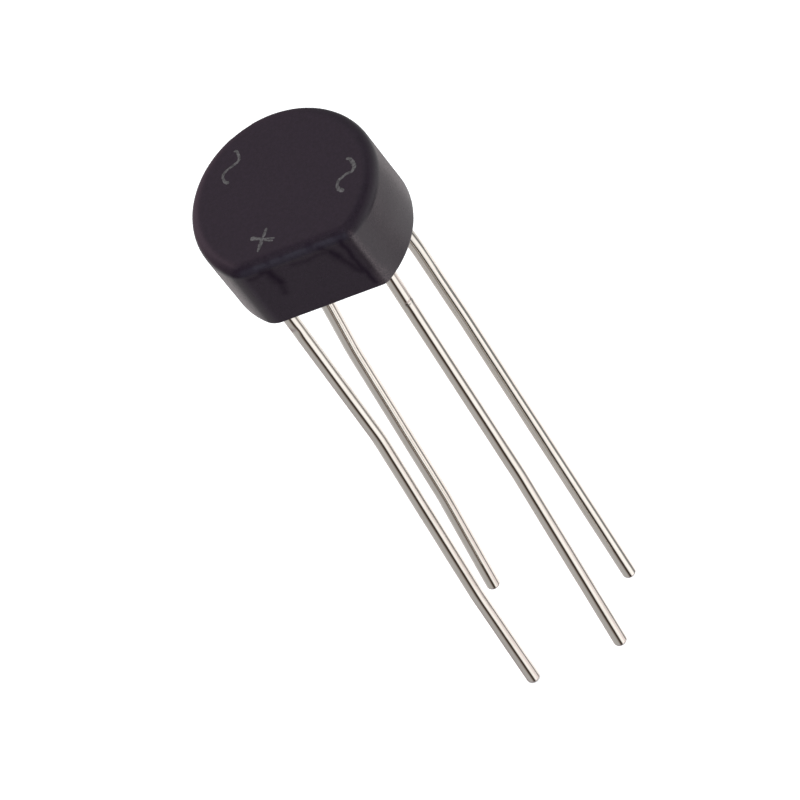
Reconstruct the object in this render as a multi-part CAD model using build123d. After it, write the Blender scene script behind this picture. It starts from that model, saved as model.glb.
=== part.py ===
from build123d import *
from math import sqrt
import os

# Round four-lead bridge rectifier: four silicon diode dies between the flattened ends of
# four tinned wires, moulded into one round epoxy body with a flat on one side.
#
# Frame, in millimetres: +Z goes up through the body and the leads point down. The origin is
# the centre of the body's underside, the face that sits on the circuit board. The flat side
# faces -Y. Seen from above, the positive lead is front left, the negative lead is back right
# and the two AC leads are front right and back left.

# Moulded body
body_radius = 4.72
body_height = 4.58
side_draft = 0.05            # degrees: the side leans in towards the top
flat_distance = 3.75         # from the axis to the flat, at the underside
left_corner_radius = 1.1     # upright corners at the ends of the flat, seen from its front
right_corner_radius = 0.7
top_edge_radius = 0.6
bottom_edge_radius = 0.06
gate_width = 2.85            # facet where the mould's gate broke off
gate_direction = 110.0       # degrees from +X towards +Y

# Leads: tinned wires on a square pattern
lead_pitch = 5.08
wire_diameter = 0.71
tip_edge_radius = 0.17       # the sheared ends are slightly rounded
bend_zone = -1.0             # bends above this height are sharp, those below it gentle
sharp_bend_radius = 2.5
gentle_bend_radius = 20.0

# Flattened lead ends inside the body
strip_width = 1.2
strip_thickness = 0.28
lower_strip_height = 1.5     # underside of the positive and negative leads' flattened ends
strip_reach = 0.2            # how far a strip's centre line runs past the middle of a die
swage_height = 0.35
swage_diameter = 0.85

# Diode dies: a square chip with a sloped mesa on its anode side
die_size = 1.3
die_thickness = 0.24
mesa_height = 0.1
mesa_slope = 45.0            # degrees from upright
solder_thickness = 0.06
solder_on_mesa = 1.0
solder_on_base = 1.15
solder_corner_radius = 0.15

# Laser marks in the top face: one plus sign and two AC waves
mark_depth = 0.02
plus_centre = (-1.24, -2.38)
plus_bar_length = 1.35
plus_stroke = 0.17
plus_turn = -26.0            # degrees
wave_length = 1.82
wave_height = 0.42           # from the wave's middle line to a crest
left_wave_centre = (-2.19, 2.23)
left_wave_turn = 77.5
left_wave_stroke = 0.14
right_wave_centre = (3.27, -0.52)
right_wave_turn = 77.5
right_wave_stroke = 0.18

# Worked out from the above
half_pitch = lead_pitch / 2
die_bottom = lower_strip_height + strip_thickness + solder_thickness
upper_strip_height = die_bottom + die_thickness + solder_thickness

# Where each lead meets its flattened end inside the body
lead_places = {
    "lead_positive": (-half_pitch, -half_pitch),
    "lead_ac_left": (-half_pitch, half_pitch),
    "lead_ac_right": (half_pitch, -half_pitch),
    "lead_negative": (half_pitch, half_pitch),
}

# The bends and the tip of each lead's centre line: (x, y, z). The wires are soft and were bent
# a little by hand, so all four lean towards the flat side. The front right one is already
# askew inside the body; the others leave the underside square to it.
lead_bends = {
    "lead_positive": [
        (-half_pitch, -half_pitch, -0.25),
        (-2.5, -3.5, -11.12),
        (-3.14, -4.81, -23.97),
        (-3.32, -5.51, -31.43),
    ],
    "lead_ac_left": [
        (-half_pitch, half_pitch, -0.25),
        (-2.52, 1.97, -6.33),
        (-2.87, 1.43, -10.63),
        (-3.41, 0.14, -22.18),
        (-3.98, -0.71, -29.6),
    ],
    "lead_ac_right": [
        (half_pitch, -half_pitch, 1.45),
        (2.75, -2.41, 0.32),
        (2.34, -4.33, -16.57),
        (1.75, -5.98, -30.3),
    ],
    "lead_negative": [
        (half_pitch, half_pitch, -0.25),
        (2.87, 1.8, -5.08),
        (2.91, 0.94, -10.34),
        (2.85, -2.41, -30.2),
    ],
}

# Each die sits midway between the two leads that it joins
die_places = {
    "positive_left": (-half_pitch, 0),
    "positive_right": (0, -half_pitch),
    "negative_left": (0, half_pitch),
    "negative_right": (half_pitch, 0),
}


def body_outline():
    """Circle with the big flat, at the underside."""
    below_flat = Location((0, -flat_distance - body_radius)) * Rectangle(
        4 * body_radius, 2 * body_radius
    )
    outline = Circle(body_radius) - below_flat
    outline = fillet(outline.vertices().sort_by(Axis.X)[0], left_corner_radius)
    return fillet(outline.vertices().sort_by(Axis.X)[-1], right_corner_radius)


def gate_cut():
    """What lies beyond the gate's facet, which leans in with the side's draft."""
    distance = sqrt(body_radius**2 - (gate_width / 2) ** 2)
    outwards = (Align.MIN, Align.CENTER, Align.CENTER)
    cut = Box(body_radius, 2 * body_radius, 3 * body_height, align=outwards)
    leaning = Location((distance, 0, 0)) * Rotation(0, -side_draft, 0) * cut
    return Rotation(0, 0, gate_direction) * leaning


def body_block():
    """The moulding's outer form, with its draft and rounded edges."""
    block = extrude(body_outline(), amount=body_height, taper=side_draft)
    block = fillet(block.faces().sort_by(Axis.Z)[-1].edges(), top_edge_radius)
    block = fillet(block.faces().sort_by(Axis.Z)[0].edges(), bottom_edge_radius)
    return block - gate_cut()


def wire(name, top):
    """Round wire from height top inside the body down through its bends to the tip."""
    route = [(*lead_places[name], top)] + lead_bends[name]
    tip_centre = route[-1]
    bends = route[1:-1]
    radii = [sharp_bend_radius if z > bend_zone else gentle_bend_radius for x, y, z in bends]
    path = FilletPolyline(*route, radius=radii)
    start = Plane(origin=route[0], z_dir=(0, 0, -1))
    lead = sweep(start * Circle(wire_diameter / 2), path=path)
    tip = lead.faces().sort_by_distance(Vector(*tip_centre))[0]
    return fillet(tip.edges(), tip_edge_radius)


def flattened_end(name, bottom):
    """Coined strip in an L from the wire to the two dies beside it, with the swage below it."""
    x, y = lead_places[name]
    past_x = strip_reach if x < 0 else -strip_reach
    past_y = strip_reach if y < 0 else -strip_reach
    centre_line = Polyline((x, past_y), (x, y), (past_x, y))
    strip = extrude(trace(centre_line, line_width=strip_width), amount=strip_thickness)
    swage = Cone(
        wire_diameter / 2,
        swage_diameter / 2,
        swage_height,
        align=(Align.CENTER, Align.CENTER, Align.MAX),
    )
    return Location((0, 0, bottom)) * strip + Location((x, y, bottom)) * swage


def lead(name):
    """One lead: its wire, swage and flattened end are a single piece of metal."""
    on_lower_level = name in ("lead_positive", "lead_negative")
    bottom = lower_strip_height if on_lower_level else upper_strip_height
    return wire(name, bottom + strip_thickness / 2) + flattened_end(name, bottom)


def die():
    """Diode chip with its mesa, the anode side, on top, standing on Z = 0."""
    base = extrude(Rectangle(die_size, die_size), amount=die_thickness - mesa_height)
    top_of_base = Plane.XY.offset(die_thickness - mesa_height)
    mesa = extrude(
        top_of_base * Rectangle(die_size, die_size), amount=mesa_height, taper=mesa_slope
    )
    return base + mesa


def solder_pad(width, bottom):
    """Square layer of solder with rounded corners."""
    pad = RectangleRounded(width, width, solder_corner_radius)
    return extrude(Plane.XY.offset(bottom) * pad, amount=solder_thickness)


def diode_stack(place):
    """A die and its two solder joints. The dies of the positive lead have their anode on top,
    and those of the negative lead are upside down."""
    anode_up = place.startswith("positive")
    chip = die()
    if not anode_up:
        chip = Rotation(180, 0, 0) * chip
        chip = Location((0, 0, die_thickness)) * chip
    widths = [solder_on_base, solder_on_mesa] if anode_up else [solder_on_mesa, solder_on_base]
    lower = solder_pad(widths[0], -solder_thickness)
    upper = solder_pad(widths[1], die_thickness)
    at = Location((*die_places[place], die_bottom))
    return {
        "die_" + place: at * chip,
        "solder_" + place + "_lower": at * lower,
        "solder_" + place + "_upper": at * upper,
    }


def wave_mark(centre, turn, stroke):
    """AC sign: two equal arcs that bulge to opposite sides."""
    quarter = wave_length / 4
    first = ThreePointArc((-2 * quarter, 0), (-quarter, wave_height), (0, 0))
    second = ThreePointArc((0, 0), (quarter, -wave_height), (2 * quarter, 0))
    shape = trace(first + second, line_width=stroke)
    return in_top_face(shape, centre, turn)


def plus_mark():
    """Plus sign of two crossed bars."""
    bar = SlotOverall(plus_bar_length, plus_stroke)
    return in_top_face(bar + Rotation(0, 0, 90) * bar, plus_centre, plus_turn)


def in_top_face(shape, centre, turn):
    """A mark's shape turned, placed and sunk so that it ends flush with the top face."""
    floor_height = body_height - mark_depth
    placed = Location((*centre, floor_height)) * Rotation(0, 0, turn) * shape
    return extrude(placed, amount=mark_depth, dir=(0, 0, 1))


def all_pieces():
    """Every piece by its node's name. The body is moulded round the others."""
    pieces = {name: lead(name) for name in lead_places}
    for place in die_places:
        pieces.update(diode_stack(place))
    pieces["mark_plus"] = plus_mark()
    pieces["mark_ac_left"] = wave_mark(left_wave_centre, left_wave_turn, left_wave_stroke)
    pieces["mark_ac_right"] = wave_mark(right_wave_centre, right_wave_turn, right_wave_stroke)
    pieces["body"] = body_block() - list(pieces.values())
    return pieces


os.makedirs("parts", exist_ok=True)
for node, piece in all_pieces().items():
    export_step(piece, "parts/" + node + ".step")
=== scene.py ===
from math import atan2, ceil, cos, exp, pi, radians, sin, sqrt, tan

import bmesh
import bpy
from mathutils import Matrix, Vector, noise

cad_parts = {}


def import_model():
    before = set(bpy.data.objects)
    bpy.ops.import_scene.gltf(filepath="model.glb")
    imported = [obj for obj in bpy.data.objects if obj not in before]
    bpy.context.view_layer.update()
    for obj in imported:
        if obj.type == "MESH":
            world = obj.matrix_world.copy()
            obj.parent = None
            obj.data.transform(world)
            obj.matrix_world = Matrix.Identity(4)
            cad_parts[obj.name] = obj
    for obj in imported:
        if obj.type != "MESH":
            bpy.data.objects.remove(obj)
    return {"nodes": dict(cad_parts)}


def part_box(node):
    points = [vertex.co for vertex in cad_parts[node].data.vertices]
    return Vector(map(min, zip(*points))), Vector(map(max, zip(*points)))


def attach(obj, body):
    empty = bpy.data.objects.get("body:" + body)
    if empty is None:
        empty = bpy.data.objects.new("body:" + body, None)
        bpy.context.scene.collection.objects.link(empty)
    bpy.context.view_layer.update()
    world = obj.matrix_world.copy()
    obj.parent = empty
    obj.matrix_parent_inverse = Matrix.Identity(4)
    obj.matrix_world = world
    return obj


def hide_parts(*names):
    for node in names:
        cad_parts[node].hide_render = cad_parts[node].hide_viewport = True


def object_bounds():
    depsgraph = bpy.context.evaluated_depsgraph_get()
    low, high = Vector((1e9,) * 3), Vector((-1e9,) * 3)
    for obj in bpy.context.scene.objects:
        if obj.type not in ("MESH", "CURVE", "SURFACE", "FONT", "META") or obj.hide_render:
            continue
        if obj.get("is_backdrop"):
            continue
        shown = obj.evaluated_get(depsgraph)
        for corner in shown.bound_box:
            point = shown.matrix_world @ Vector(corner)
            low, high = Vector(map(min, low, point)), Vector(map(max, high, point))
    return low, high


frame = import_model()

# Looks of a round four-lead bridge rectifier. The moulded epoxy body, its four tinned wires and
# the three laser marks are fine meshes modelled round the CAD solids that they stand for. The
# dies and solder joints inside keep their CAD meshes.
# Everything is in metres in the frame of the part: +Z up, the leads point down and the body's
# flat faces -Y.

MM = 0.001

# Body: what the frame's boxes don't give
LEFT_CORNER_RADIUS = 1.1 * MM     # upright corners at the ends of the flat
RIGHT_CORNER_RADIUS = 0.7 * MM
TOP_EDGE_RADIUS = 0.6 * MM
BOTTOM_EDGE_RADIUS = 0.06 * MM
SIDE_DRAFT = radians(0.05)
GATE_OUT = Vector((cos(radians(110)), sin(radians(110)), 0))
GATE_WIDTH = 2.85 * MM
BODY_CELL = 0.075 * MM            # size of the body mesh's quads on its side
BOTTOM_EDGE_STEPS = 5             # of quads over the rounded edges
TOP_EDGE_STEPS = 10
FACE_RINGS = 44                   # of quads across the top face and across the underside

# Unevenness of the moulding
WAVE_DEPTH = 0.006 * MM
WAVE_LENGTH = 1.6 * MM
RIPPLE_DEPTH = 0.0012 * MM
RIPPLE_LENGTH = 0.35 * MM
BREAK_DEPTH = 0.03 * MM           # roughness of the facet where the gate broke off
BREAK_LENGTH = 0.12 * MM
BREAK_RIM = 0.05 * MM             # over which the roughness sets in

# Painted dark reflections on the flat and its top edge: x and z of both ends, reach, all in mm, and
# strength
DARK_REFLECTION_PATCHES = [
    (2.39, 4.15, 2.37, 2.6, 0.17, 1.0),
    (2.37, 2.6, 2.44, 0.4, 0.15, 1.0),
    (1.28, 4.16, 1.66, 3.75, 0.18, 0.7),
    (1.66, 3.75, 1.78, 3.1, 0.24, 1.0),
    (1.78, 3.1, 2.3, 1.5, 0.2, 0.85),
    (-1.75, 3.95, -1.4, 3.85, 0.22, 0.9),
    (-1.4, 3.85, -1.3, 2.9, 0.24, 1.0),
    (-1.3, 2.9, -1.4, 2.0, 0.2, 0.7),
    (-2.4, 3.85, -1.6, 3.8, 0.17, 0.6),
    (-0.3, 3.75, 1.5, 3.75, 0.17, 0.5),
    (-2.9, 4.5, -2.2, 4.4, 0.2, 0.5),
    (-1.33, 4.42, -1.25, 4.35, 0.1, 0.6),
    (-0.55, 4.42, -0.5, 4.38, 0.08, 0.5),
    (0.8, 4.42, 1.0, 4.38, 0.14, 0.6),
    (2.2, 4.45, 2.5, 4.35, 0.16, 0.5),
]
DARK_PATCH_FLAT = 0.35 * MM            # painted dark patches only lie this close to the flat
DARK_PATCH_WANDER = 0.12 * MM          # how far their edges stray
DARK_PATCH_WANDER_LENGTH = 0.7 * MM

# Painted highlight along the upright right corner, and how far it reaches from the corner
CORNER_HIGHLIGHT = Vector((2.97 * MM, -3.66 * MM, 0))
CORNER_HIGHLIGHT_REACH = 0.15 * MM
CORNER_HIGHLIGHT_FOOT = 1.8 * MM            # height below which it widens towards the underside
CORNER_HIGHLIGHT_WIDENING = 1.6

# Collar of epoxy drawn up round each wire where it leaves the underside
COLLAR_REACH = 0.16 * MM
COLLAR_REACH_VARIES = 0.35
COLLAR_DROP = 0.07 * MM
COLLAR_DROP_VARIES = 0.4
COLLAR_ROOT = 0.03 * MM           # how deep it is sunk in the body

# Wires
WIRE_SIDES = 48
WIRE_STEP = 0.06 * MM             # between the rings of the mesh
SECTION_STEP = 0.2 * MM           # between the CAD sections that give the centre line
TIP_EDGE_RADIUS = 0.17 * MM
TIP_EDGE_STEPS = 9
TIP_SLANT = 0.1                   # of the sheared end, rise over run
TIP_DARK_FROM, TIP_DARK_TO = 0.25, 0.6    # where the tin gives way to the bare cut, painted dark as a dark reflection, in tip edge radii
CUT_HEIGHT = 0.8 * MM             # inside the body: the CAD's flattened ends stay above it
WIRE_WAVE_DEPTH = 0.006 * MM
WIRE_WAVE_ROUND = 0.55 * MM       # wave length round the wire
WIRE_WAVE_ALONG = 2.6 * MM
WIRE_WAVE_SHIFT = 4 * MM          # sets the wires' waves apart from each other
DENT_FACING = 0.6                 # a dent spans the directions this close to its own (cosine)
# Dents: the wire, distance below the body, direction in degrees from +X, length, depth
DENTS = [
    ("lead_ac_right", 2.88 * MM, -58, 0.1 * MM, 0.022 * MM),
    ("lead_positive", 2.08 * MM, -115, 0.32 * MM, 0.02 * MM),
]

# Laser marks: strokes as (x, y, width in mm) with x and y in fractions of the mark's CAD box
MARK_DEPTH = 0.02 * MM
MARK_RISE = 0.003 * MM            # of the middle of a stroke above the top face
MARK_STEP = 0.02 * MM
RAGGED = 0.3                      # unevenness of a stroke's edges, as part of its half width
RAGGED_LENGTH = 0.06 * MM
CRUMBLY_LENGTH = 0.03 * MM        # of the unevenness on top of a stroke
STROKES = {
    "mark_ac_left": [
        [
            (0.66, 0.96, 0.1), (0.78, 0.94, 0.14), (0.84, 0.81, 0.15), (0.84, 0.69, 0.14),
            (0.76, 0.62, 0.13), (0.58, 0.57, 0.14), (0.37, 0.52, 0.12), (0.19, 0.46, 0.13),
            (0.07, 0.38, 0.14), (0.06, 0.27, 0.14), (0.13, 0.15, 0.17), (0.28, 0.1, 0.21),
        ],
    ],
    "mark_ac_right": [
        [
            (0.58, 0.94, 0.13), (0.72, 0.93, 0.15), (0.83, 0.78, 0.23), (0.86, 0.66, 0.22),
            (0.79, 0.57, 0.16), (0.69, 0.53, 0.13), (0.53, 0.53, 0.15), (0.31, 0.47, 0.15),
            (0.15, 0.41, 0.15), (0.07, 0.29, 0.17), (0.12, 0.17, 0.23), (0.31, 0.07, 0.22),
        ],
    ],
    "mark_plus": [
        [(0.02, 0.76, 0.21), (0.14, 0.7, 0.22), (0.34, 0.61, 0.15), (0.55, 0.51, 0.13)],
        [(0.55, 0.53, 0.08), (0.81, 0.45, 0.08), (0.98, 0.38, 0.07)],
        [(0.55, 0.47, 0.08), (0.72, 0.37, 0.1), (0.9, 0.3, 0.11)],
        [(0.73, 0.97, 0.13), (0.61, 0.75, 0.17), (0.52, 0.6, 0.13)],
        [(0.52, 0.6, 0.14), (0.44, 0.45, 0.2), (0.36, 0.29, 0.2), (0.22, 0.03, 0.07)],
    ],
}

# Camera
CAMERA_AIM = Vector((0.897, -6.518, -5.049)) * MM
CAMERA_DISTANCE = 0.4
CAMERA_AZIMUTH = radians(23.79)   # from -Y towards +X
CAMERA_ELEVATION = radians(50.45)
CAMERA_ROLL = radians(-38.9)
CAMERA_LENS = 386.5               # mm, on a 36 mm sensor

# Tints of the studio's pale cards
BLUSH = (1.06, 0.96, 0.97)
ROSE = (1.17, 0.88, 1.0)
COOL = (0.85, 0.97, 1.2)
MAUVE = (1.1, 0.78, 1.15)
WARM = (1.25, 1.0, 0.85)

# Light round the part as glossy surfaces see it: degrees from +X towards +Y, level, and tint
WALL_RING = [
    (0, 1.3, BLUSH), (18, 1.08, BLUSH), (30, 0.66, BLUSH), (54, 0.44, BLUSH), (66, 0.54, BLUSH),
    (78, 0.78, BLUSH), (102, 0.4, BLUSH), (126, 0.08), (138, 1.33, BLUSH), (150, 0.61, BLUSH),
    (162, 0.22, BLUSH), (174, 0.28, BLUSH), (186, 0.29, BLUSH), (198, 0.32, BLUSH),
    (210, 0.3, BLUSH), (222, 0.25, MAUVE), (234, 0.15, MAUVE), (246, 0.13, MAUVE),
    (258, 0.24, BLUSH), (270, 0.19, BLUSH), (282, 0.27, BLUSH), (294, 0.92, BLUSH),
    (306, 0.82, BLUSH), (318, 0.88, BLUSH), (330, 0.92, BLUSH), (342, 1.04, BLUSH),
]
WIRE_RING = [
    (0, 0.15), (12, 0.25), (20, 0.7), (31, 0.75), (50, 0.75), (77, 0.7), (100, 0.5), (150, 0.5),
    (162, 0.9), (172, 0.75), (180, 0.58), (213, 0.5), (236, 0.54), (247, 0.42), (256, 0.22, WARM),
    (264, 0.06, WARM), (277, 0.03, WARM), (284, 0.08, WARM), (291, 1.0), (297, 1.3), (323, 1.38),
    (336, 1.3), (343, 0.85), (350, 0.35), (357, 0.15),
]
EDGE_RING = [
    (0, 0.85), (20, 0.8), (40, 0.62), (60, 0.3), (90, 0.15), (110, 0.2, ROSE), (130, 0.42, ROSE),
    (155, 0.4, ROSE), (175, 0.25, ROSE), (200, 0.05), (225, 0.05), (240, 0.22, COOL),
    (258, 0.28, COOL), (270, 0.15), (290, 0.2), (320, 0.45), (345, 0.75),
]
RIM_RING = [
    (0, 0.38), (20, 0.36), (40, 0.3), (60, 0.2), (90, 0.22), (114, 0.3, ROSE), (132, 0.65, ROSE),
    (155, 0.75, ROSE), (175, 0.28, ROSE), (200, 0.1), (228, 0.1), (241, 0.6, COOL),
    (256, 0.72, COOL), (266, 0.4, COOL), (285, 0.12), (320, 0.2), (345, 0.35),
]
CEILING_RING = [
    (0, 0.1), (30, 0.05), (60, 0.18), (90, 0.36), (113, 0.32), (132, 0.52, ROSE),
    (160, 0.7, ROSE), (190, 0.35), (215, 0.12), (235, 0.14), (262, 0.16), (275, 0.15),
    (290, 0.05), (340, 0.05),
]

# Heights (Z of the direction) over which each ring gives way to the one above it
NADIR_TO_WALL = (-0.95, -0.88)
WALL_TO_WIRE = (-0.75, -0.7)
WIRE_TO_EDGE = (-0.55, -0.35)
EDGE_TO_RIM = (-0.1, 0.35)
RIM_TO_CEILING = (0.6, 0.74)
CEILING_TO_OVERHEAD = (0.82, 0.92)
NADIR = 0.32
OVERHEAD = 0.12

# Cards close to the wires give them a bright right edge with a thin dark line beside it
DARK_CARD = (-20, 10, 0.28)       # from and to, in degrees from +X towards +Y, and level
BRIGHT_CARD = (14, 120, 1.25)
CARD_AWAY = 16 * MM
CARD_TOP, CARD_FOOT = -17 * MM, -70 * MM
CARD_STEPS = 12

# Even light on matt surfaces
SOFT_LEVEL = 0.6
SOFTBOX_PLACE = Vector((0.05, -0.15, 0.5))
SOFTBOX_SIZE = 0.35
SOFTBOX_WATTS = 2.2
SOFTBOX_COLOUR = (0.93, 0.97, 1.0)

FLOOR_HALF = 3.0                  # half of the floor's side
FLOOR_GLOW = 0.5                  # added to what the camera sees of the floor


# ---------------------------------------------------------------- meshes

def new_piece(name, vertices, faces):
    """A smooth shaded object from a list of points and a list of faces."""
    mesh = bpy.data.meshes.new(name)
    mesh.from_pydata(vertices, [], faces)
    mesh.polygons.foreach_set("use_smooth", [True] * len(faces))
    made = bpy.data.objects.new(name, mesh)
    bpy.context.scene.collection.objects.link(made)
    return made


def stand_in(piece, node, material):
    """Puts the piece in place of its CAD node, with the finish of that slot."""
    piece.data.materials.append(material)
    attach(piece, "root")
    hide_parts(node)


def skin(rings, first=0):
    """Quads between neighbouring rings of points that are all of the same length and closed."""
    count = len(rings[0])
    faces = []
    for lower in range(len(rings) - 1):
        start = first + lower * count
        for step in range(count):
            following = (step + 1) % count
            faces.append((start + step, start + following, start + count + following, start + count + step))
    return faces


def fan(centre, start, count, upwards):
    """Triangles from a centre vertex to the ring of vertices that begins at start."""
    pairs = [(start + step, start + (step + 1) % count) for step in range(count)]
    return [(centre, a, b) if upwards else (centre, b, a) for a, b in pairs]


def wavy(point, length, seed=0.0):
    """Smooth unevenness between -1 and 1 that repeats about once in that length."""
    return noise.noise(point / length + Vector((seed, 0.37 * seed, -0.71 * seed)))


def bell(distance, width):
    """1 in the middle, falling off smoothly over the width."""
    return exp(-((distance / width) ** 2))


def eased(value, start, end):
    """0 before start, 1 after end, smooth between."""
    part = min(max((value - start) / (end - start), 0), 1)
    return part * part * (3 - 2 * part)


# ---------------------------------------------------------------- body

def body_outline(radius, flat):
    """Points round the foot of the body, each with the direction outwards, anticlockwise."""

    def corner(rounding):
        y = rounding - flat
        x = sqrt((radius - rounding) ** 2 - y * y)
        return x, y, atan2(y, x)

    right_x, right_y, right_turn = corner(RIGHT_CORNER_RADIUS)
    left_x, left_y, left_turn = corner(LEFT_CORNER_RADIUS)
    arcs = [
        (right_x, right_y, RIGHT_CORNER_RADIUS, -pi / 2, right_turn),
        (0, 0, radius, right_turn, pi - left_turn),
        (-left_x, left_y, LEFT_CORNER_RADIUS, pi - left_turn, 1.5 * pi),
    ]
    points = []
    for x, y, rounding, start, end in arcs:
        count = ceil(rounding * (end - start) / BODY_CELL)
        for step in range(count):
            turn = start + (end - start) * step / count
            out = Vector((cos(turn), sin(turn), 0))
            points.append((Vector((x, y, 0)) + rounding * out, out))
    count = ceil((left_x + right_x) / BODY_CELL)
    for step in range(count):
        x = -left_x + (left_x + right_x) * step / count
        points.append((Vector((x, -flat, 0)), Vector((0, -1, 0))))
    return points


def side_profile(height):
    """(height, inset) pairs up the side, over the rounded bottom and top edges."""
    lean = tan(SIDE_DRAFT)
    low, high = BOTTOM_EDGE_RADIUS, height - TOP_EDGE_RADIUS
    low_inset = lean * low + BOTTOM_EDGE_RADIUS / cos(SIDE_DRAFT)
    high_inset = lean * high + TOP_EDGE_RADIUS / cos(SIDE_DRAFT)
    pairs = []
    for step in range(BOTTOM_EDGE_STEPS + 1):
        turn = (pi / 2 + SIDE_DRAFT) * step / BOTTOM_EDGE_STEPS
        pairs.append((low - low * cos(turn), low_inset - low * sin(turn)))
    cells = ceil((high - low) / BODY_CELL)
    for step in range(1, cells):
        z = low + (high - low) * step / cells
        pairs.append((z, lean * z))
    for step in range(TOP_EDGE_STEPS + 1):
        turn = SIDE_DRAFT + (pi / 2 - SIDE_DRAFT) * step / TOP_EDGE_STEPS
        z = high + TOP_EDGE_RADIUS * sin(turn)
        pairs.append((z, high_inset - TOP_EDGE_RADIUS * cos(turn)))
    return pairs


def side_point(base, out, height, inset, radius):
    """A point of the body's side: inset and uneven, and cut back to the gate's facet."""
    point = base - inset * out + Vector((0, 0, height))
    uneven = WAVE_DEPTH * wavy(point, WAVE_LENGTH) + RIPPLE_DEPTH * wavy(point, RIPPLE_LENGTH, 5)
    point += uneven * out
    facet = sqrt(radius**2 - (GATE_WIDTH / 2) ** 2) - height * tan(SIDE_DRAFT)
    beyond = point.dot(GATE_OUT) - facet
    if beyond > 0:
        rough = BREAK_DEPTH * eased(beyond, 0, BREAK_RIM) * (0.5 + wavy(point, BREAK_LENGTH, 3))
        point -= (beyond + max(rough, 0)) * GATE_OUT
    return point


def dark_reflection_at(point, flat):
    """How strong the painted dark reflection is at a point of the flat, from 0 to 1."""
    if point.y > DARK_PATCH_FLAT - flat:
        return 0.0
    here = Vector((point.x, point.z))
    strays = [wavy(point, DARK_PATCH_WANDER_LENGTH, seed) for seed in (2, 6)]
    here += DARK_PATCH_WANDER * Vector(strays)
    darkest = 0.0
    for x, z, end_x, end_z, reach, strength in DARK_REFLECTION_PATCHES:
        start, end = Vector((x, z)) * MM, Vector((end_x, end_z)) * MM
        along = (here - start).dot(end - start) / (end - start).length_squared
        nearest = start.lerp(end, min(max(along, 0), 1))
        darkest = max(darkest, strength * bell((here - nearest).length, reach * MM))
    return darkest


def corner_highlight_at(point):
    """How strong the painted corner highlight is at a point, from 0 to 1; it widens towards the foot."""
    reach = CORNER_HIGHLIGHT_REACH * (1 + CORNER_HIGHLIGHT_WIDENING * eased(-point.z, -CORNER_HIGHLIGHT_FOOT, 0))
    return bell((point.xy - CORNER_HIGHLIGHT.xy).length, reach)


def paint(piece, name, levels):
    """Stores one value a vertex, for the material to read."""
    stored = piece.data.attributes.new(name, "FLOAT", "POINT")
    stored.data.foreach_set("value", levels)


def face_rings(edge, middle):
    """Rings that shrink from the body's edge towards the middle of a horizontal face."""
    rings = []
    for step in range(1, FACE_RINGS):
        rings.append([middle + (point - middle) * (1 - step / FACE_RINGS) for point in edge])
    return rings


def collar(centre, wire_radius):
    """Ring of epoxy round a wire at the underside, as its cross-sections one after another."""
    rings = []
    for step in range(WIRE_SIDES):
        turn = 2 * pi * step / WIRE_SIDES
        out = Vector((cos(turn), sin(turn), 0))
        foot = centre + wire_radius * out
        reach = COLLAR_REACH * (1 + COLLAR_REACH_VARIES * wavy(foot, 0.5 * MM, 9))
        drop = COLLAR_DROP * (1 + COLLAR_DROP_VARIES * wavy(foot, 0.4 * MM, 2))
        profile = [
            (wire_radius + reach, COLLAR_ROOT),
            (wire_radius + reach, 0.0),
            (wire_radius + 0.55 * reach, -0.12 * drop),
            (wire_radius + 0.25 * reach, -0.4 * drop),
            (wire_radius + 0.08 * reach, -0.8 * drop),
            (wire_radius - 0.02 * MM, -drop),
            (wire_radius - 0.05 * MM, COLLAR_ROOT),
        ]
        rings.append([centre + away * out + Vector((0, 0, z)) for away, z in profile])
    return rings


def add_collar(vertices, faces, centre, wire_radius):
    """Appends a collar to the body's mesh."""
    rings = collar(centre, wire_radius)
    start = len(vertices)
    for ring in rings:
        vertices.extend(ring)
    count = len(rings[0])
    for step in range(len(rings)):
        following = (step + 1) % len(rings)
        for around in range(count):
            after = (around + 1) % count
            here, there = start + step * count, start + following * count
            faces.append((here + around, here + after, there + after, there + around))


def body(exits, wire_radius):
    """The whole moulding in one mesh, standing for the CAD body."""
    low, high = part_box("body")
    radius, flat, height = (high.x - low.x) / 2, -low.y, high.z
    outline = body_outline(radius, flat)
    side = []
    for z, inset in side_profile(height):
        side.append([side_point(base, out, z, inset, radius) for base, out in outline])
    underside = face_rings(side[0], Vector((0, 0, 0)))
    top = face_rings(side[-1], Vector((0, 0, height)))
    rings = underside[::-1] + side + top
    vertices = [point for ring in rings for point in ring]
    faces = skin(rings)
    count = len(outline)
    vertices += [Vector((0, 0, 0)), Vector((0, 0, height))]
    faces += fan(len(vertices) - 2, 0, count, False)
    faces += fan(len(vertices) - 1, (len(rings) - 1) * count, count, True)
    for centre in exits:
        add_collar(vertices, faces, centre, wire_radius)
    made = new_piece("body_moulding", vertices, faces)
    # Painted dark reflections on the flat, stored for the material
    paint(made, "painted_dark_reflection", [dark_reflection_at(point, flat) for point in vertices])
    # Painted highlight along the right corner, stored for the material
    paint(made, "painted_corner_highlight", [corner_highlight_at(point) for point in vertices])
    return made


# ---------------------------------------------------------------- wires

def section(node, height):
    """(middle, radius) of a CAD wire where it crosses a height."""
    points = [vertex.co for vertex in node.data.vertices]
    xs, ys = [], []
    for edge in node.data.edges:
        a, b = points[edge.vertices[0]], points[edge.vertices[1]]
        if (a.z > height) != (b.z > height):
            across = a.lerp(b, (height - a.z) / (b.z - a.z))
            xs.append(across.x)
            ys.append(across.y)
    middle = Vector(((min(xs) + max(xs)) / 2, (min(ys) + max(ys)) / 2, height))
    return middle, (max(xs) - min(xs)) / 2


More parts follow.
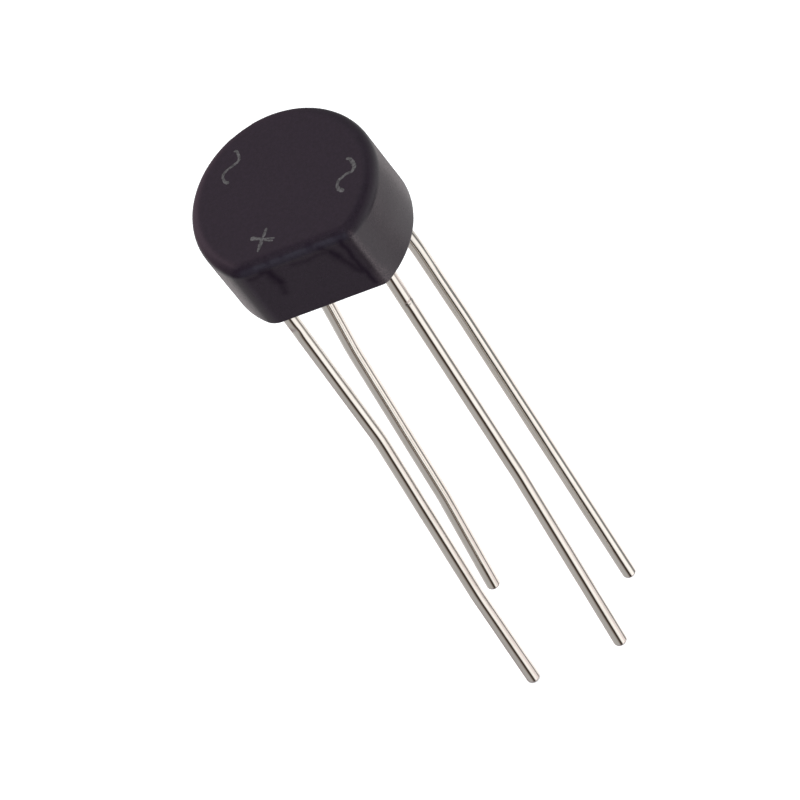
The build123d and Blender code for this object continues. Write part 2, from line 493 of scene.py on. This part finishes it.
def centre_line(node):
    """Middle of the CAD wire from the cut inside the body to its tip, in even steps."""
    lowest = min(vertex.co.z for vertex in node.data.vertices)
    count = int((CUT_HEIGHT - lowest - 1.5 * TIP_EDGE_RADIUS) / SECTION_STEP)
    rough = [section(node, CUT_HEIGHT - step * SECTION_STEP)[0] for step in range(count + 1)]
    smooth = [rough[0]]
    for before, here, after in zip(rough, rough[1:], rough[2:]):
        smooth.append((before + 2 * here + after) / 4)
    smooth.append(rough[-1])
    end = (smooth[-1] - smooth[-6]).normalized()
    furthest = max((vertex.co - smooth[-1]).dot(end) for vertex in node.data.vertices)
    smooth.append(smooth[-1] + furthest * end)
    return even_steps(smooth, WIRE_STEP)


def even_steps(path, step):
    """Points at even distances along a path of points, with both ends kept."""
    lengths = [0.0]
    for before, after in zip(path, path[1:]):
        lengths.append(lengths[-1] + (after - before).length)
    count = ceil(lengths[-1] / step)
    points, at = [], 0
    for number in range(count + 1):
        along = lengths[-1] * number / count
        while at < len(path) - 2 and lengths[at + 1] < along:
            at += 1
        part = (along - lengths[at]) / (lengths[at + 1] - lengths[at])
        points.append(path[at].lerp(path[at + 1], part))
    return points


def wire_radius_at(name, point, out, below, radius):
    """Radius of the wire in one direction: slightly wavy, with the dents it got in handling."""
    around = out * radius / WIRE_WAVE_ROUND
    place = Vector((around.x, around.y, point.z / WIRE_WAVE_ALONG))
    shift = Vector((point.x, point.y, 0)) / WIRE_WAVE_SHIFT
    size = radius + WIRE_WAVE_DEPTH * noise.noise(place + shift)
    for wire, distance, direction, length, depth in DENTS:
        if wire == name and abs(below - distance) < 3 * length:
            facing = out.dot(Vector((cos(radians(direction)), sin(radians(direction)), 0)))
            size -= depth * bell(below - distance, length) * eased(facing, DENT_FACING, 1)
    return size


def stations_along(path):
    """(point, along, side) for each point of a path, without any twist from one to the next."""
    made = []
    side = Vector((1, 0, 0))
    for number, point in enumerate(path):
        before, after = path[max(number - 1, 0)], path[min(number + 1, len(path) - 1)]
        along = (after - before).normalized()
        side = (side - side.dot(along) * along).normalized()
        made.append((point, along, side))
    return made


def wire_rings(name, path, radius):
    """Rings of points down the wire, ending in rings that close over its rounded tip."""
    rings = []
    stations = stations_along(path)
    end, along, side = stations[-1]
    kept = [station for station in stations if (end - station[0]).dot(along) > TIP_EDGE_RADIUS]
    for number, (point, direction, across) in enumerate(kept):
        below = number * (path[1] - path[0]).length - CUT_HEIGHT
        rings.append(ring(name, point, direction, across, below, radius))
    for step in range(1, TIP_EDGE_STEPS + 1):
        turn = pi / 2 * step / TIP_EDGE_STEPS
        place = end - (1 - sin(turn)) * TIP_EDGE_RADIUS * along
        inset = TIP_EDGE_RADIUS * (1 - cos(turn))
        rings.append(tip_ring(place, along, side, radius - inset, sin(turn)))
    for part in (0.66, 0.33):
        rings.append(tip_ring(end, along, side, part * (radius - TIP_EDGE_RADIUS), 1))
    return rings


def ring(name, point, along, side, below, radius):
    """One ring of points round the wire."""
    made = []
    other = along.cross(side)
    for step in range(WIRE_SIDES):
        turn = 2 * pi * step / WIRE_SIDES
        out = cos(turn) * side + sin(turn) * other
        made.append(point + wire_radius_at(name, point, out, below, radius) * out)
    return made


def tip_ring(place, along, side, radius, slanted):
    """One ring of points of the sheared tip, which slants a little."""
    made = []
    other = along.cross(side)
    for step in range(WIRE_SIDES):
        turn = 2 * pi * step / WIRE_SIDES
        out = cos(turn) * side + sin(turn) * other
        rise = slanted * TIP_SLANT * radius * (sin(turn) - 1)
        made.append(place + radius * out + rise * along)
    return made


def cut_at(point, end, along):
    """How far a point lies on the sheared end, from 0 on the wire to 1 on the cut."""
    past = (point - end).dot(along) + TIP_EDGE_RADIUS
    return eased(past, TIP_DARK_FROM * TIP_EDGE_RADIUS, TIP_DARK_TO * TIP_EDGE_RADIUS)


def coined_end(node):
    """The CAD wire's flattened end and the wire above the cut, closed at the cut."""
    made = bmesh.new()
    made.from_mesh(node.data)
    everything = made.verts[:] + made.edges[:] + made.faces[:]
    cut = bmesh.ops.bisect_plane(
        made,
        geom=everything,
        plane_co=Vector((0, 0, CUT_HEIGHT)),
        plane_no=Vector((0, 0, 1)),
        clear_inner=True,
    )
    rim = [part for part in cut["geom_cut"] if isinstance(part, bmesh.types.BMEdge)]
    bmesh.ops.contextual_create(made, geom=rim)
    for edge in made.edges:
        edge.smooth = len(edge.link_faces) == 2 and edge.calc_face_angle() < radians(30)
    return made


def add_wire(made, rings):
    """Appends the closed skin over the rings of points to a mesh that is being made."""
    corners = [[made.verts.new(point) for point in points] for points in rings]
    for lower, upper in zip(corners, corners[1:]):
        for step in range(WIRE_SIDES):
            following = (step + 1) % WIRE_SIDES
            made.faces.new((lower[step], upper[step], upper[following], lower[following]))
    made.faces.new(corners[0])
    made.faces.new(corners[-1][::-1])


def wire(name):
    """The wire with its coined end in one mesh, standing for the CAD lead. Returns the piece,
    the middle of the wire where it leaves the body, and its radius."""
    node = frame["nodes"][name]
    path = centre_line(node)
    exit_point, radius = section(node, 0.0)
    made = coined_end(node)
    add_wire(made, wire_rings(name, path, radius))
    for face in made.faces:
        face.smooth = True
    mesh = bpy.data.meshes.new(name)
    made.to_mesh(mesh)
    made.free()
    piece = bpy.data.objects.new(name.replace("lead", "wire"), mesh)
    bpy.context.scene.collection.objects.link(piece)
    along = (path[-1] - path[-2]).normalized()
    # The cut mask marks the sheared end, which the material paints dark as a painted dark reflection
    paint(piece, "cut", [cut_at(vertex.co, path[-1], along) for vertex in mesh.vertices])
    return piece, exit_point, radius


# ---------------------------------------------------------------- laser marks

def stroke_path(stroke, low, size):
    """(point, width) pairs along a stroke, on a smooth curve through its points."""
    given = [(Vector((low.x + x * size.x, low.y + y * size.y)), width * MM) for x, y, width in stroke]
    pairs = []
    for number in range(len(given) - 1):
        four = [given[min(max(number + shift, 0), len(given) - 1)] for shift in (-1, 0, 1, 2)]
        steps = ceil((four[2][0] - four[1][0]).length / MARK_STEP)
        for step in range(steps):
            part = step / steps
            point = through([place for place, width in four], part)
            width = four[1][1] + (four[2][1] - four[1][1]) * part
            pairs.append((point, width))
    pairs.append(given[-1])
    return pairs


def through(points, part):
    """Catmull-Rom curve between the middle two of four points."""
    a, b, c, d = points
    squared, cubed = part * part, part**3
    return 0.5 * (
        2 * b + (c - a) * part + (2 * a - 5 * b + 4 * c - d) * squared + (3 * b - a - 3 * c + d) * cubed
    )


def stroke_mesh(stroke, low, size, top, seed):
    """Vertices and faces of one stroke: a thin closed slab with ragged edges and round ends."""
    pairs = stroke_path(stroke, low, size)
    lengths = [0.0]
    for (before, _), (after, _) in zip(pairs, pairs[1:]):
        lengths.append(lengths[-1] + (after - before).length)
    rings = []
    for number, (point, width) in enumerate(pairs):
        before, after = pairs[max(number - 1, 0)][0], pairs[min(number + 1, len(pairs) - 1)][0]
        along = (after - before).normalized()
        side = Vector((-along.y, along.x))
        from_end = min(lengths[number], lengths[-1] - lengths[number])
        rounding = sqrt(max(1 - max(1 - 2 * from_end / width, 0) ** 2, 0.02))
        here = point.to_3d()
        left = width / 2 * rounding * (1 + RAGGED * wavy(here, RAGGED_LENGTH, seed))
        right = width / 2 * rounding * (1 + RAGGED * wavy(here, RAGGED_LENGTH, seed + 4))
        rings.append(slab_ring(point, side, left, right, top))
    vertices = [point for ring_points in rings for point in ring_points]
    faces = skin(rings)
    count = len(rings[0])
    faces.append(tuple(range(count))[::-1])
    faces.append(tuple(range(len(vertices) - count, len(vertices))))
    return vertices, faces


def slab_ring(point, side, left, right, top):
    """Cross-section of a stroke: an uneven top just proud of the body and a flat underside."""
    made = []
    for part in (1, 0.5, 0, -0.5, -1):
        place = (point + side * (left if part > 0 else right) * part).to_3d()
        crumbly = 1 + 0.5 * wavy(place, CRUMBLY_LENGTH, 7)
        rise = MARK_RISE * crumbly * (1 - 0.6 * part * part)
        made.append(place + Vector((0, 0, top + rise)))
    for part in (-1, 1):
        place = (point + side * (left if part > 0 else right) * part).to_3d()
        made.append(place + Vector((0, 0, top - MARK_DEPTH)))
    return made


def mark(name):
    """All the strokes of one laser mark in one mesh, standing for the CAD mark."""
    low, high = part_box(name)
    vertices, faces = [], []
    for number, stroke in enumerate(STROKES[name]):
        more, sides = stroke_mesh(stroke, low, high - low, high.z, 3.0 * number)
        start = len(vertices)
        vertices += more
        faces += [tuple(start + corner for corner in side) for side in sides]
    return new_piece(name.replace("mark", "laser"), vertices, faces)


# ---------------------------------------------------------------- materials

def shader(name):
    """A new material and its node tree, with the Principled shader in place."""
    material = bpy.data.materials.new(name)
    material.use_nodes = True
    return material, material.node_tree, material.node_tree.nodes["Principled BSDF"]


def add(tree, kind, **inputs):
    """A new node; underscores in an input's name stand for spaces."""
    made = tree.nodes.new(kind)
    for key, value in inputs.items():
        made.inputs[key.replace("_", " ")].default_value = value
    return made


def grain(tree, scale, detail=3.0, stretch=(1, 1, 1)):
    """Noise in the part's own coordinates; scale is in features per metre."""
    place = add(tree, "ShaderNodeTexCoord")
    stretched = add(tree, "ShaderNodeMapping", Scale=stretch)
    cloud = add(tree, "ShaderNodeTexNoise", Scale=scale, Detail=detail)
    tree.links.new(place.outputs["Object"], stretched.inputs["Vector"])
    tree.links.new(stretched.outputs["Vector"], cloud.inputs["Vector"])
    return cloud.outputs["Fac"]


def ranged(tree, source, low, high, start=0.3, end=0.7):
    """The source spread from start..end to low..high."""
    spread = tree.nodes.new("ShaderNodeMapRange")
    for key, value in (("From Min", start), ("From Max", end), ("To Min", low), ("To Max", high)):
        spread.inputs[key].default_value = value
    tree.links.new(source, spread.inputs["Value"])
    return spread.outputs["Result"]


def blended(tree, source, first, second, start=0.3, end=0.7):
    """Colour that goes from first to second as the source goes from start to end."""
    mix = tree.nodes.new("ShaderNodeMix")
    mix.data_type = "RGBA"
    mix.inputs["A"].default_value = (*first, 1)
    mix.inputs["B"].default_value = (*second, 1)
    tree.links.new(ranged(tree, source, 0, 1, start, end), mix.inputs["Factor"])
    return mix.outputs["Result"]


def mixed(tree, factor, first, second):
    """Colour between two colours or sockets; the factor is a socket."""
    mix = tree.nodes.new("ShaderNodeMix")
    mix.data_type = "RGBA"
    for name, value in (("A", first), ("B", second)):
        if isinstance(value, tuple):
            mix.inputs[name].default_value = (*value, 1)
        else:
            tree.links.new(value, mix.inputs[name])
    tree.links.new(factor, mix.inputs["Factor"])
    return mix.outputs["Result"]


def bump(tree, heights, principled):
    """Chains (source, height in metres) pairs as bumps into the shader's normal."""
    normal = None
    for source, height in heights:
        made = add(tree, "ShaderNodeBump", Strength=1.0, Distance=height)
        tree.links.new(source, made.inputs["Height"])
        if normal:
            tree.links.new(normal, made.inputs["Normal"])
        normal = made.outputs["Normal"]
    tree.links.new(normal, principled.inputs["Normal"])


def painted(tree, name):
    """Value stored at the vertices of the mesh, 0 where there is none."""
    stored = tree.nodes.new("ShaderNodeAttribute")
    stored.attribute_name = name
    return stored.outputs["Fac"]


def times(tree, first, second):
    """Product of two sockets."""
    product = tree.nodes.new("ShaderNodeMath")
    product.operation = "MULTIPLY"
    tree.links.new(first, product.inputs[0])
    tree.links.new(second, product.inputs[1])
    return product.outputs["Value"]


def epoxy_material():
    """Satin black moulding compound with a faint purple tint and a fine eroded grain, with
    painted dark reflections on the flat and a painted highlight along one corner."""
    material, tree, main = shader("epoxy")
    cloud = grain(tree, 6500, 3)
    fine = grain(tree, 26000, 2)
    pores = grain(tree, 9000, 3)
    tint = blended(tree, cloud, (0.0134, 0.0084, 0.0144), (0.0179, 0.0111, 0.0191))
    # Painted dark reflection: the colour darkens where the mask is painted
    darkened_tint = mixed(tree, painted(tree, "painted_dark_reflection"), tint, (0.0108, 0.006, 0.0125))
    # Painted highlight: a lighter colour along the right corner, broken up by grain
    corner_highlight = times(tree, painted(tree, "painted_corner_highlight"), ranged(tree, grain(tree, 13000, 2), 0.2, 1, 0.4, 0.65))
    tree.links.new(mixed(tree, corner_highlight, darkened_tint, (0.07, 0.052, 0.06)), main.inputs["Base Color"])
    tree.links.new(ranged(tree, pores, 0.27, 0.36), main.inputs["Roughness"])
    main.inputs["IOR"].default_value = 1.5
    # The painted dark reflection also dims the shine
    shine = ranged(tree, painted(tree, "painted_dark_reflection"), 0.5, 0.08, 0, 1)
    tree.links.new(shine, main.inputs["Specular IOR Level"])
    bump(tree, [(fine, 1.2e-6), (pores, 2.0e-6)], main)
    return material


def wire_material():
    """Tinned copper: bright, with fine drawing marks along the wire and duller patches; the
    sheared end shows the bare cut, painted dark as a dark reflection."""
    material, tree, main = shader("tinned_wire")
    streaks = grain(tree, 12000, 3, (1, 1, 0.03))
    patches = grain(tree, 900, 3, (1, 1, 0.5))
    colour = blended(tree, patches, (0.71, 0.665, 0.61), (0.77, 0.725, 0.675))
    # Painted dark reflection on the sheared end, where the bare cut shows
    darkened_tip = mixed(tree, painted(tree, "cut"), colour, (0.13, 0.105, 0.09))
    tree.links.new(darkened_tip, main.inputs["Base Color"])
    main.inputs["Metallic"].default_value = 1.0
    tree.links.new(ranged(tree, streaks, 0.07, 0.12), main.inputs["Roughness"])
    bump(tree, [(streaks, 0.8e-6)], main)
    return material


def mark_material():
    """Epoxy burnt light by the laser, patchy along the stroke."""
    material, tree, main = shader("laser_mark")
    patches = grain(tree, 8000, 3)
    colour = blended(tree, patches, (0.038, 0.034, 0.037), (0.115, 0.108, 0.11))
    tree.links.new(colour, main.inputs["Base Color"])
    main.inputs["Roughness"].default_value = 0.8
    bump(tree, [(grain(tree, 40000, 2), 3e-6)], main)
    return material


def silicon_material():
    """Sawn and lapped silicon: grey with a cold tint and fine saw lines."""
    material, tree, main = shader("silicon")
    saw_lines = grain(tree, 9000, 2, (0.05, 1, 1))
    colour = blended(tree, saw_lines, (0.17, 0.18, 0.21), (0.24, 0.25, 0.28))
    tree.links.new(colour, main.inputs["Base Color"])
    main.inputs["Metallic"].default_value = 0.6
    tree.links.new(ranged(tree, saw_lines, 0.3, 0.45), main.inputs["Roughness"])
    bump(tree, [(saw_lines, 1.5e-6)], main)
    return material


def solder_material():
    """Reflowed solder: dull grey metal with a soft crystalline mottling."""
    material, tree, main = shader("solder")
    crystals = grain(tree, 6000, 4)
    colour = blended(tree, crystals, (0.46, 0.46, 0.47), (0.58, 0.58, 0.59))
    tree.links.new(colour, main.inputs["Base Color"])
    main.inputs["Metallic"].default_value = 1.0
    tree.links.new(ranged(tree, crystals, 0.35, 0.55), main.inputs["Roughness"])
    bump(tree, [(crystals, 2e-6)], main)
    return material


def dress_cad_nodes(materials):
    """Gives every CAD node the material of its slot."""
    for name, piece in frame["nodes"].items():
        kind = name.split("_")[0]
        for slot in piece.material_slots:
            slot.material = materials[kind]


# ---------------------------------------------------------------- studio

def camera():
    """Long lens at the photograph's angle, rolled as the photographer framed it."""
    back = Vector(
        (
            sin(CAMERA_AZIMUTH) * cos(CAMERA_ELEVATION),
            -cos(CAMERA_AZIMUTH) * cos(CAMERA_ELEVATION),
            sin(CAMERA_ELEVATION),
        )
    )
    right = Vector((0, 0, 1)).cross(back).normalized()
    up = back.cross(right)
    turn = Matrix.Rotation(CAMERA_ROLL, 3, back)
    axes = Matrix((turn @ right, turn @ up, back)).transposed()
    data = bpy.data.cameras.new("camera")
    data.lens = CAMERA_LENS
    data.sensor_width = 36
    data.clip_start = 0.01
    data.clip_end = 20
    made = bpy.data.objects.new("camera", data)
    made.matrix_world = Matrix.Translation(CAMERA_AIM + CAMERA_DISTANCE * back) @ axes.to_4x4()
    bpy.context.scene.collection.objects.link(made)
    bpy.context.scene.camera = made


def floor():
    """Plain pale floor just under the longest lead."""
    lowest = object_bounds()[0][2]
    mesh = bpy.data.meshes.new("floor")
    corners = [(x * FLOOR_HALF, y * FLOOR_HALF, lowest) for x, y in ((-1, -1), (1, -1), (1, 1), (-1, 1))]
    mesh.from_pydata(corners, [], [(0, 1, 2, 3)])
    made = bpy.data.objects.new("floor", mesh)
    bpy.context.scene.collection.objects.link(made)
    made.visible_glossy = False
    material, tree, main = shader("floor")
    main.inputs["Base Color"].default_value = (0.8, 0.8, 0.8, 1)
    main.inputs["Roughness"].default_value = 0.9
    path = tree.nodes.new("ShaderNodeLightPath")
    glow = add(tree, "ShaderNodeEmission", Strength=FLOOR_GLOW)
    both = tree.nodes.new("ShaderNodeAddShader")
    chosen = tree.nodes.new("ShaderNodeMixShader")
    tree.links.new(main.outputs["BSDF"], both.inputs[0])
    tree.links.new(glow.outputs["Emission"], both.inputs[1])
    tree.links.new(path.outputs["Is Camera Ray"], chosen.inputs["Fac"])
    tree.links.new(main.outputs["BSDF"], chosen.inputs[1])
    tree.links.new(both.outputs["Shader"], chosen.inputs[2])
    tree.links.new(chosen.outputs["Shader"], tree.nodes["Material Output"].inputs["Surface"])
    mesh.materials.append(material)
    made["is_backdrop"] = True


def level_round(tree, turn, levels):
    """The levels of a ring, spread over one whole turn."""
    ring = tree.nodes.new("ShaderNodeValToRGB")
    stops = ring.color_ramp.elements
    while len(stops) < len(levels):
        stops.new(0.5)
    for stop, (degrees, level, *tints) in zip(stops, levels):
        red, green, blue = tints[0] if tints else (1, 1, 1)
        stop.position = degrees / 360
        stop.color = (level * red, level * green, level * blue, 1)
    tree.links.new(turn, ring.inputs["Fac"])
    return ring.outputs["Color"]


def direction(tree):
    """(part of a turn from +X towards +Y, Z) of a direction as the world sees it."""
    place = tree.nodes.new("ShaderNodeTexCoord")
    split = tree.nodes.new("ShaderNodeSeparateXYZ")
    tree.links.new(place.outputs["Generated"], split.inputs["Vector"])
    angle = tree.nodes.new("ShaderNodeMath")
    angle.operation = "ARCTAN2"
    tree.links.new(split.outputs["Y"], angle.inputs[0])
    tree.links.new(split.outputs["X"], angle.inputs[1])
    turns = tree.nodes.new("ShaderNodeMath")
    turns.operation = "MULTIPLY"
    turns.inputs[1].default_value = 1 / (2 * pi)
    tree.links.new(angle.outputs["Value"], turns.inputs[0])
    wrapped = tree.nodes.new("ShaderNodeMath")
    wrapped.operation = "FRACT"
    tree.links.new(turns.outputs["Value"], wrapped.inputs[0])
    return wrapped.outputs["Value"], split.outputs["Z"]


def studio_cards(tree):
    """Rings of pale cards with gaps between them, from the dark below to the dark overhead."""
    turn, height = direction(tree)
    seen = (NADIR, NADIR, NADIR)
    above = [
        (NADIR_TO_WALL, level_round(tree, turn, WALL_RING)),
        (WALL_TO_WIRE, level_round(tree, turn, WIRE_RING)),
        (WIRE_TO_EDGE, level_round(tree, turn, EDGE_RING)),
        (EDGE_TO_RIM, level_round(tree, turn, RIM_RING)),
        (RIM_TO_CEILING, level_round(tree, turn, CEILING_RING)),
        (CEILING_TO_OVERHEAD, (OVERHEAD, OVERHEAD, OVERHEAD)),
    ]
    for (start, end), upper in above:
        seen = mixed(tree, ranged(tree, height, 0, 1, start, end), seen, upper)
    return seen


def world():
    """White to the camera, a soft even light to matt surfaces, and cards to glossy ones."""
    made = bpy.data.worlds.new("world")
    made.use_nodes = True
    bpy.context.scene.world = made
    tree = made.node_tree
    tree.nodes.clear()
    seen = add(tree, "ShaderNodeBackground", Color=(1, 1, 1, 1), Strength=1.0)
    soft = add(tree, "ShaderNodeBackground", Color=(1, 1, 1, 1), Strength=SOFT_LEVEL)
    cards = add(tree, "ShaderNodeBackground", Strength=1.0)
    tree.links.new(studio_cards(tree), cards.inputs["Color"])
    path = tree.nodes.new("ShaderNodeLightPath")
    by_gloss = tree.nodes.new("ShaderNodeMixShader")
    by_camera = tree.nodes.new("ShaderNodeMixShader")
    tree.links.new(path.outputs["Is Glossy Ray"], by_gloss.inputs["Fac"])
    tree.links.new(soft.outputs["Background"], by_gloss.inputs[1])
    tree.links.new(cards.outputs["Background"], by_gloss.inputs[2])
    tree.links.new(path.outputs["Is Camera Ray"], by_camera.inputs["Fac"])
    tree.links.new(by_gloss.outputs["Shader"], by_camera.inputs[1])
    tree.links.new(seen.outputs["Background"], by_camera.inputs[2])
    output = tree.nodes.new("ShaderNodeOutputWorld")
    tree.links.new(by_camera.outputs["Shader"], output.inputs["Surface"])


def softbox():
    """Square area lamp above the part, facing its middle."""
    data = bpy.data.lights.new("softbox_top", "AREA")
    data.size = SOFTBOX_SIZE
    data.energy = SOFTBOX_WATTS
    data.color = SOFTBOX_COLOUR
    made = bpy.data.objects.new("softbox_top", data)
    made.location = SOFTBOX_PLACE
    made.rotation_euler = (-SOFTBOX_PLACE).to_track_quat("-Z", "Y").to_euler()
    made.visible_glossy = False
    bpy.context.scene.collection.objects.link(made)


def card(name, start, end, level):
    """Curved upright card beside the wires, from one direction to another in degrees. Only
    glossy surfaces see it."""
    vertices = []
    for step in range(CARD_STEPS + 1):
        turn = radians(start + step * (end - start) / CARD_STEPS)
        away = CARD_AWAY * Vector((cos(turn), sin(turn), 0))
        vertices += [away + Vector((0, 0, CARD_FOOT)), away + Vector((0, 0, CARD_TOP))]
    faces = [(step, step + 2, step + 3, step + 1) for step in range(0, 2 * CARD_STEPS, 2)]
    made = new_piece(name, vertices, faces)
    made.visible_camera = False
    made.visible_diffuse = False
    made.visible_shadow = False
    material, tree, main = shader(name)
    glow = add(tree, "ShaderNodeEmission", Strength=level)
    tree.links.new(glow.outputs["Emission"], tree.nodes["Material Output"].inputs["Surface"])
    made.data.materials.append(material)
    made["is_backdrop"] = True


def model(materials):
    """Every piece that stands for a CAD node, and the CAD nodes' own materials."""
    dress_cad_nodes(materials)
    exits = []
    for name in [node for node in frame["nodes"] if node.startswith("lead")]:
        piece, exit_point, wire_radius = wire(name)
        exits.append(exit_point)
        stand_in(piece, name, materials["lead"])
    stand_in(body(exits, wire_radius), "body", materials["body"])
    for name in STROKES:
        stand_in(mark(name), name, materials["mark"])


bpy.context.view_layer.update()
model(
    {
        "body": epoxy_material(),
        "lead": wire_material(),
        "mark": mark_material(),
        "die": silicon_material(),
        "solder": solder_material(),
    }
)
camera()
floor()
world()
card("dark_card", *DARK_CARD)
card("bright_card", *BRIGHT_CARD)
softbox()

bpy.context.scene.view_settings.view_transform = "Standard"
